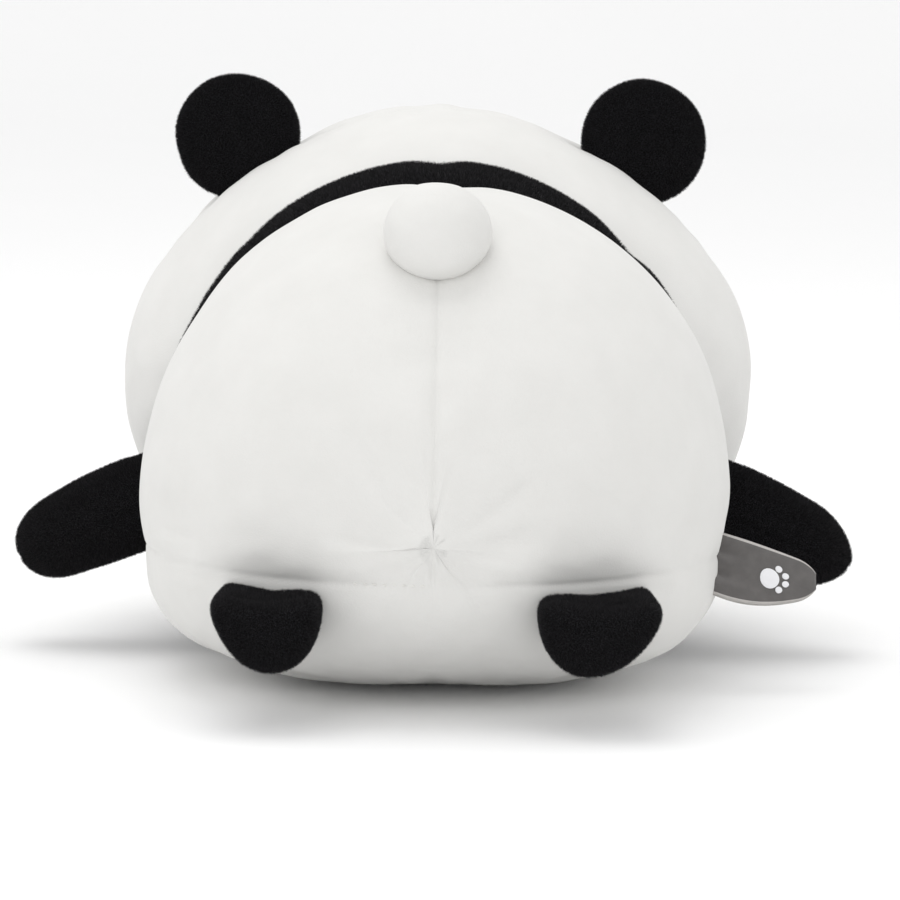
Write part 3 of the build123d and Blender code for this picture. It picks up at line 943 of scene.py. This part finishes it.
def makeEar(side, name):
    pivot = pivotOf(name + "_ear_fold")
    along = axisOf(name + "_ear_fold")
    out = unitOf(np.array([side * abs(along[2]), 0, abs(along[0])]))
    centre = pivot + out * 0.0150
    rounds = np.linspace(0, 2 * math.pi, ear["cols"], endpoint=False)
    sideways = np.array([1.0, 0, 0])
    up = np.array([0, 0, 1.0])
    rings = []
    for angle in np.linspace(0.12, math.pi - 0.12, ear["rows"]):
        ring = math.sin(angle) ** 0.8
        thick = math.cos(angle)
        deep = ear["thick"] * np.sign(thick) * abs(thick) ** 0.8
        rings.append(centre + np.array([0, -deep, 0])
                     + ring * ear["radius"] * (np.cos(rounds)[:, None] * sideways + np.sin(rounds)[:,
                                                                                                   None] * up))
    piece = closedBag(name + "EarCloth", np.stack(rings), centre - np.array([0, ear["thick"], 0]),
                      centre + np.array([0, ear["thick"], 0]))
    puffUp(piece, 2.0, 0.0008, ((pointsOf(piece) - pivot) @ out < 0.004).astype(float))
    piece = subdivide(piece, 2)
    points, normals = pointsOf(piece), normalsOf(piece)
    seam = groove(points[:, 1] - centre[1], 0.0007, 0.0010, 0.0004, 0.003)
    push = 0.0008 * lumps(points, 0.02, 30 + side) - seam
    movePoints(piece, points + normals * push[:, None])
    return wear(piece, blackCloth), pivot, out


# label: a ribbon folded once at its outer end, gathered where it is sewn in

label = {"length": 0.046, "width": 0.029, "thick": 0.0006, "gap": 0.0014, "rows": 46, "cols": 24,
         "border": 0.0016,
         "upperRoot": 0.0215, "upperEnd": 0.0088, "lowerRoot": -0.0072, "lowerEnd": -0.0045, "belly": 0.0040}


def labelFrame():
    seam = pivotOf("label_flap")
    axis = axisOf("label_flap")
    low, high = boxOf("label_front")
    middle = (low + high) / 2
    out = middle - seam
    out = unitOf(out - axis * (out @ axis))
    normal = unitOf(np.cross(out, axis))
    if normal[1] > 0:
        normal = -normal
    return seam, out, axis, normal


def labelPoint(run, side, seam, out, axis, normal):
    # run goes out along the front layer, round the fold and back; side goes across, -1 to 1
    outer = label["length"]
    back = run > outer
    reach = np.where(back, 2 * outer - run, run)
    share = np.clip(reach / outer, 0, 1)
    layer = np.where(back, -1.0, 1.0)
    fold = np.sqrt(np.clip(1 - np.clip((share - 0.93) / 0.07, 0, 1) ** 2, 0, 1))
    gather = np.exp(-share / 0.16)
    # the upper edge runs down towards the end, the lower edge stays long and gently curved
    upper = label["upperRoot"] + (label["upperEnd"] - label["upperRoot"]) * share
    lower = label["lowerRoot"] + (label["lowerEnd"] - label["lowerRoot"]) * share - label["belly"] * np.sin(math.pi * share ** 0.9)
    middle, half = (upper + lower) / 2, (upper - lower) / 2
    ending = np.clip((share - 0.80) / 0.20, 0, 1)
    half = half * np.sqrt(np.clip(1 - 0.86 * ending ** 2.6, 0, 1))
    across = middle + side * half * (1 - 0.10 * gather)
    wave = 0.0021 * gather * np.sin(side * 8.5 + 0.6) + 0.0011 * np.sin(share * 3.0) * side
    depth = layer * label["gap"] / 2 * fold * (1 - 0.5 * gather) + wave
    return seam + reach[..., None] * out + across[..., None] * axis + depth[..., None] * normal


def makeLabel():
    seam, out, axis, normal = labelFrame()
    if axis[2] < 0:
        axis = -axis
    run = np.linspace(-0.002, 2 * label["length"] + 0.002, label["rows"] * 2)
    side = np.linspace(-1, 1, label["cols"])
    runs, sides = np.meshgrid(run, side, indexing="ij")
    points = labelPoint(runs, sides, seam, out, axis, normal)
    rows, cols = runs.shape
    faces = [(r * cols + c, r * cols + c + 1, (r + 1) * cols + c + 1, (r + 1) * cols + c)
             for r in range(rows - 1) for c in range(cols - 1)]
    mesh = bpy.data.meshes.new("labelRibbon")
    mesh.from_pydata([tuple(p) for p in points.reshape(-1, 3)], [], faces)
    mesh.update()
    ribbonMap = mesh.uv_layers.new(name="ribbonMap")
    flat = np.stack([runs.ravel(), sides.ravel() * label["width"] / 2], -1)
    for loop in mesh.loops:
        ribbonMap.data[loop.index].uv = flat[loop.vertex_index]
    piece = bpy.data.objects.new("labelRibbon", mesh)
    scene.collection.objects.link(piece)
    mesh.materials.append(ribbonGrey)
    mesh.materials.append(ribbonEdge)
    for polygon in mesh.polygons:
        polygon.use_smooth = True
        middle = np.mean([flat[v] for v in polygon.vertices], 0)
        if abs(middle[1]) > label["width"] / 2 - label["border"]:
            polygon.material_index = 1
    return piece, seam, out, axis, normal


def makePaw(seam, out, axis, normal):
    # a plain paw print on the front layer: one pad and four toes
    marks = [(0.56, -0.10, 0.0052, 0.0041)] + [(0.56 + 0.155 * math.cos(a), -0.10 + 0.47 * math.sin(a),
                                                0.0019, 0.0015)
                                              for a in (-1.0, -0.35, 0.35, 1.0)]
    points, faces = [], []
    for share, side, tall, wide in marks:
        first = len(points)
        rings = [(0.55, 0.00022), (0.9, 0.00018), (1.0, 0.0)]
        spin = np.linspace(0, 2 * math.pi, 20, endpoint=False)
        for size, lift in rings:
            run = share * label["length"] + np.cos(spin) * wide * size
            across = side + np.sin(spin) * tall * size / (label["width"] / 2)
            base = labelPoint(run, across, seam, out, axis, normal)
            points += list(base + normal * (label["thick"] + lift))
        centre = labelPoint(np.array([share * label["length"]]), np.array([side]), seam, out, axis,
                            normal)[0]
        points.append(centre + normal * (label["thick"] + 0.00022))
        hub = len(points) - 1
        for c in range(20):
            n = (c + 1) % 20
            faces.append((hub, first + c, first + n))
            for ring in range(2):
                a, b = first + ring * 20, first + (ring + 1) * 20
                faces.append((a + c, b + c, b + n, a + n))
    mesh = bpy.data.meshes.new("labelPaw")
    mesh.from_pydata([tuple(p) for p in points], [], faces)
    mesh.update()
    piece = bpy.data.objects.new("labelPaw", mesh)
    scene.collection.objects.link(piece)
    if sum(p.normal @ Vector(normal) for p in mesh.polygons) < 0:
        mesh.flip_normals()
    for polygon in mesh.polygons:
        polygon.use_smooth = True
    return wear(piece, inkWhite)


# face: patches, eyes, nose and mouth lie on the head's surface

face = {"patchX": 0.052, "patchZ": 0.116, "patchWide": 0.019, "patchTall": 0.025, "patchLean": 28.0,
        "patchLift": 0.0016,
        "eyeX": 0.047, "eyeZ": 0.119, "eyeRadius": 0.0064, "eyeLift": 0.0034,
        "noseZ": 0.096, "noseWide": 0.0098, "noseTall": 0.0064, "noseLift": 0.0028,
        "mouthDrop": 0.009, "mouthRadius": 0.008}


def onFace(x, z, lift):
    # the point of the head's front at this place, raised by lift
    x, z, lift = np.broadcast_arrays(np.asarray(x, float), np.asarray(z, float), np.asarray(lift, float))
    spots = []
    for px, pz, height in zip(x.ravel(), z.ravel(), lift.ravel()):
        hit, place, facing, _ = headCloth.ray_cast(Vector((px, headCentre[1] + 0.3, pz)),
                                                   Vector((0, -1, 0)))
        spots.append(np.array(place) + np.array(facing) * height)
    return np.array(spots).reshape(x.shape + (3,))


def faceCushion(name, x, z, wide, tall, lean, lift, dome, sink, material, rows=14, cols=48):
    spin = np.linspace(0, 2 * math.pi, cols, endpoint=False)
    angle = math.radians(lean)
    rings = []
    for share in np.linspace(1, 0.08, rows):
        across, up = np.cos(spin) * wide * share, np.sin(spin) * tall * share
        px = x + across * math.cos(angle) - up * math.sin(angle)
        pz = z + across * math.sin(angle) + up * math.cos(angle)
        height = lift * (1 - share ** dome) ** (1 / dome)
        rings.append(onFace(px, pz, np.full(cols, height + 0.0002)))
    under = []
    for share in (0.08, 0.5, 1.0):
        across, up = np.cos(spin) * wide * share, np.sin(spin) * tall * share
        px = x + across * math.cos(angle) - up * math.sin(angle)
        pz = z + across * math.sin(angle) + up * math.cos(angle)
        under.append(onFace(px, pz, np.full(cols, -sink)))
    rings = np.stack(under + rings)
    piece = closedBag(name, rings, onFace(x, z, -sink), onFace(x, z, lift + 0.0002))
    return wear(subdivide(piece, 1), material)


# build the rest and hand everything to the frame

def hand(piece, body, nodes=(), between=None):
    if nodes:
        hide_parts(*nodes)
    if between:
        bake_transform(piece)
    else:
        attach(piece, body)


hand(rumpCloth, "torso", ("rump_left_panel", "rump_right_panel", "belly_panel",
                                         "torso_filling"))
bandPoints = pointsOf(bandCloth)
bandShown = (insideBy(bandPoints, bandCentre, bandReach) < 0.0045) & (insideBy(bandPoints, headCentre,
                                                                               headReach) < 0.0003) \
    & (insideBy(bandPoints, rumpCentre, rumpReach) < 0.0008)
upperPile = growPile(bandCloth, "bandPile", bandShown * np.clip((bandPoints[:, 2] - 0.075) / 0.02, 0, 1), 3)
lowerPile = growPile(bandCloth, "chestPile", bandShown * np.clip((0.095 - bandPoints[:, 2]) / 0.02, 0, 1)
                     * (bandPoints[:, 2] > 0.004), 4, most=48000)
hand(bandCloth, "torso", ("shoulder_band", "chest_panel"))
hand(upperPile, "torso")
hand(lowerPile, "torso")
hand(headCloth, "head", ("face_panel", "head_back_panel", "head_filling"))
hand(tailCloth, "tail", ("tail_cover", "tail_filling"),
     ("torso", tailRoot, tailRoot + tailOut * 0.012))
print("bags placed")

for side, name in ((-1, "left"), (1, "right")):
    cloth, pivot, out = makeArm(side, name)
    points = pointsOf(cloth)
    shown = (insideBy(points, bandCentre, bandReach) < 0.001) & (insideBy(points, rumpCentre,
                                                                          rumpReach) < 0.001)
    pile = growPile(cloth, name + "ArmPile", shown.astype(float), 40 + side, most=60000, thickness=0.00015)
    across = ("torso", pivot + out * 0.004, pivot + out * 0.026)
    hand(cloth, name + "_arm", [name + "_arm_" + part for part in ("upper_panel",
                                                                                  "lower_panel", "filling")], across)
    hand(pile, name + "_arm", (), across)

    cloth, pivot = makeFoot(side, name)
    points = pointsOf(cloth)
    shown = insideBy(points, rumpCentre, rumpReach) < 0.001
    pile = growPile(cloth, name + "FootPile", shown.astype(float), 50 + side, most=40000, thickness=0.00015)
    backwards = np.array([0, -1.0, 0])
    across = ("torso", pivot + backwards * 0.002, pivot + backwards * 0.018)
    hand(cloth, name + "_foot", [name + "_foot_" + part for part in ("upper", "sole",
                                                                                    "filling")], across)
    hand(pile, name + "_foot", (), across)

    cloth, pivot, out = makeEar(side, name)
    points = pointsOf(cloth)
    shown = insideBy(points, headCentre, headReach) < 0.001
    pile = growPile(cloth, name + "EarPile", shown.astype(float), 60 + side, most=48000, thickness=0.00015)
    across = ("head", pivot - out * 0.002, pivot + out * 0.012)
    hand(cloth, name + "_ear", [name + "_ear_" + part for part in ("front_panel",
                                                                                  "back_panel", "filling")], across)
    hand(pile, name + "_ear", (), across)

    patch = faceCushion(name + "EyePatchCloth", side * face["patchX"], face["patchZ"],
                        face["patchWide"], face["patchTall"],
                        side * face["patchLean"], face["patchLift"], 2.2, 0.0008, blackCloth)
    top = np.ones(len(patch.data.vertices)) * (normalsOf(patch)[:, 1] > 0)
    pile = growPile(patch, name + "EyePatchPile", top, 70 + side, most=14000, length=0.0013,
                    thickness=0.00014)
    hand(patch, "head", (name + "_eye_patch",))
    hand(pile, "head")
    eye = faceCushion(name + "EyeBead", side * face["eyeX"], face["eyeZ"], face["eyeRadius"],
                      face["eyeRadius"], 0,
                      face["eyeLift"] + 0.0016, 2.0, 0.0, eyeGloss)
    hand(eye, "head", (name + "_eye",))
print("limbs, ears and eyes placed")

noseCloth = faceCushion("noseSatin", 0, face["noseZ"], face["noseWide"], face["noseTall"], 0,
                        face["noseLift"], 2.4, 0.0006, threadBlack)
hand(noseCloth, "head", ("nose",))
mouthPath = []
for turn in np.linspace(math.pi, 2 * math.pi, 24):
    mouthPath.append((-face["mouthRadius"] + face["mouthRadius"] * math.cos(turn),
                      face["mouthRadius"] * math.sin(turn) * 0.8))
for turn in np.linspace(math.pi, 2 * math.pi, 24)[1:]:
    mouthPath.append((face["mouthRadius"] + face["mouthRadius"] * math.cos(turn),
                      face["mouthRadius"] * math.sin(turn) * 0.8))
mouthPath = np.array(mouthPath)
mouthLine = onFace(mouthPath[:, 0], face["noseZ"] - face["mouthDrop"] + mouthPath[:, 1],
                   np.full(len(mouthPath), 0.0003))
mouthStitches = sewRow(mouthLine, "mouthStitches", 0.0021, 0.0026, 0.00055, threadBlack)
hand(mouthStitches, "head", ("mouth_stitch",))

ribbon, seam, out, axis, normal = makeLabel()
paw = makePaw(seam, out, axis, normal)
across = ("torso", seam, seam + out * 0.008)
thick = ribbon.modifiers.new("cloth", "SOLIDIFY")
thick.thickness = label["thick"]
thick.offset = 0
solid = bake(ribbon, "labelCloth")
drop(ribbon)
for polygon in solid.data.polygons:
    polygon.use_smooth = True
hand(solid, "label", ("label_front", "label_back"), across)
hand(paw, "label", ("label_print",), across)

# the opening that was closed by hand, beside the end of the centre seam
closing = []
for x in np.linspace(-0.030, -0.004, 14):
    start = np.array([x, rumpLow[1] - 0.02, rump["bellySeam"] + 0.0004])
    hit, place, facing, _ = rumpCloth.ray_cast(Vector(start), Vector((0, 1, 0)))
    if hit:
        closing.append(np.array(place) + np.array(facing) * 0.0001)
closingStitches = sewRow(closing, "closingStitches", 0.0034, 0.0022, 0.00028, threadWhite, slant=0.5)
hand(closingStitches, "torso")
print("face, label and stitches placed")


# stage, light and camera

stage = {"floorFront": -6.0, "floorBack": 6.0, "half": 7.0, "wall": 5.0, "sweep": 1.5}


def makeStage():
    profile = [(stage["floorFront"], 0.0), (stage["floorBack"] - stage["sweep"], 0.0)]
    for turn in np.linspace(0, math.pi / 2, 18)[1:]:
        profile.append((stage["floorBack"] - stage["sweep"] + stage["sweep"] * math.sin(turn),
                        stage["sweep"] * (1 - math.cos(turn))))
    profile.append((stage["floorBack"], stage["wall"]))
    points = [(x, y, z - 0.0002) for y, z in profile for x in (-stage["half"], stage["half"])]
    faces = [(2 * i, 2 * i + 1, 2 * i + 3, 2 * i + 2) for i in range(len(profile) - 1)]
    mesh = bpy.data.meshes.new("studioSweep")
    mesh.from_pydata(points, [], faces)
    for polygon in mesh.polygons:
        polygon.use_smooth = True
    floor = bpy.data.objects.new("studioSweep", mesh)
    scene.collection.objects.link(floor)
    material, tree, shader = newMaterial("paperWhite", 0.9)
    place = tree.nodes.new("ShaderNodeTexCoord").outputs["Object"]
    tree.links.new(mixColours(tree, noiseAt(tree, place, 3.0), (0.95, 0.95, 0.95), (0.965, 0.965, 0.965)),
                   shader.inputs["Base Color"])
    mesh.materials.append(material)


makeStage()

lights = {"sky": 0.98,
          "overhead": {"place": (-0.25, 0.1, 1.9), "size": 1.3, "power": 8.0},
          "front": {"place": (-0.7, -2.1, 1.5), "size": 1.4, "power": 6.0}}

world = bpy.data.worlds.new("studioAir")
scene.world = world
world.use_nodes = True
world.node_tree.nodes["Background"].inputs["Color"].default_value = (1, 1, 1, 1)
world.node_tree.nodes["Background"].inputs["Strength"].default_value = lights["sky"]
for name in ("overhead", "front"):
    lamp = bpy.data.lights.new(name, "AREA")
    lamp.shape = "DISK"
    lamp.size = lights[name]["size"]
    lamp.energy = lights[name]["power"]
    holder = bpy.data.objects.new(name, lamp)
    holder.location = lights[name]["place"]
    aim = Vector((0, 0, 0.1)) - Vector(lights[name]["place"])
    holder.rotation_euler = aim.to_track_quat("-Z", "Y").to_euler()
    scene.collection.objects.link(holder)

camera = {"place": (0.006, -1.700, 0.304), "lens": 160.0, "down": 7.3, "roll": 0.8}
eye = bpy.data.cameras.new("camera")
eye.lens = camera["lens"]
eye.sensor_width = 36.0
eye.clip_start, eye.clip_end = 0.05, 60
holder = bpy.data.objects.new("camera", eye)
holder.location = camera["place"]
tip, roll = math.radians(90 - camera["down"]), math.radians(camera["roll"])
holder.rotation_euler = (Matrix.Rotation(tip, 3, "X") @ Matrix.Rotation(roll, 3, "Z")).to_euler()
scene.collection.objects.link(holder)
scene.camera = holder
scene.view_settings.view_transform = "Standard"
